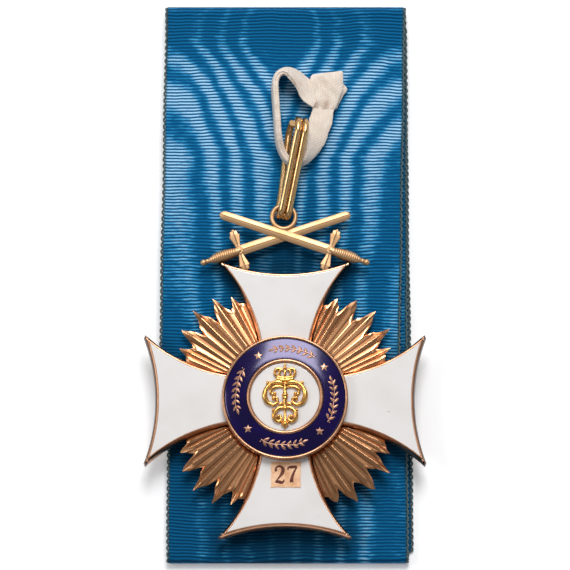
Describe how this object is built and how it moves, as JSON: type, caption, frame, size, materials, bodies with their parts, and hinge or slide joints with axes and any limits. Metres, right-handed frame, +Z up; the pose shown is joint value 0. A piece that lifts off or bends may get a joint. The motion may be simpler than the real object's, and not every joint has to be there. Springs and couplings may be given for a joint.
{
  "type": "order neck badge",
  "caption": "White enamelled splayed cross with gilt rays, a blue-ringed medallion and crossed swords, hung from a tape by a wire bail and lying on its folded neck ribbon.",
  "frame": {"origin": "on the surface that the ribbon lies on, under the middle of the whole object", "axes": "+Z up, out of the badge's face; +Y along the ribbon, from the cross towards the bail; +X to the right as the badge is looked at"},
  "size_m": [0.0536, 0.1078, 0.01],
  "materials": {
    "ribbon_silk": "ribbed silk with a watered pattern",
    "linen": "plain woven linen, a little stained",
    "badge_gold": "satin gold, warm",
    "ray_gold": "bright rose gold on the ridges, dull in the grooves",
    "white_enamel": "glossy fired enamel",
    "blue_enamel": "glossy translucent violet-blue enamel",
    "medallion_gold": "satin gold",
    "trim_gold": "pale satin gold",
    "emblem_gold": "polished yellow gold",
    "label_paper": "matt, yellowed",
    "sword_gold": "satin yellow gold",
    "bail_gold": "polished gold, a little worn"
  },
  "bodies": {
    "root": {"neck_ribbon": "ribbon_silk", "linen_tape": "linen", "tape_knot": "linen", "back_plate": "badge_gold", "ray_star": "ray_gold", "cross_frame": "badge_gold", "enamel_top": "white_enamel", "enamel_right": "white_enamel", "enamel_bottom": "white_enamel", "enamel_left": "white_enamel", "medallion_mount": "medallion_gold", "blue_band": "blue_enamel", "inner_ring": "medallion_gold", "centre_enamel": "white_enamel", "star_1": "trim_gold", "star_2": "trim_gold", "star_3": "trim_gold", "star_4": "trim_gold", "sprig_1": "trim_gold", "sprig_2": "trim_gold", "sprig_3": "trim_gold", "sprig_4": "trim_gold", "centre_emblem": "emblem_gold", "paper_label": "label_paper", "crossed_swords": "sword_gold", "ribbon_bail": "bail_gold"}
  },
  "joints": []
}
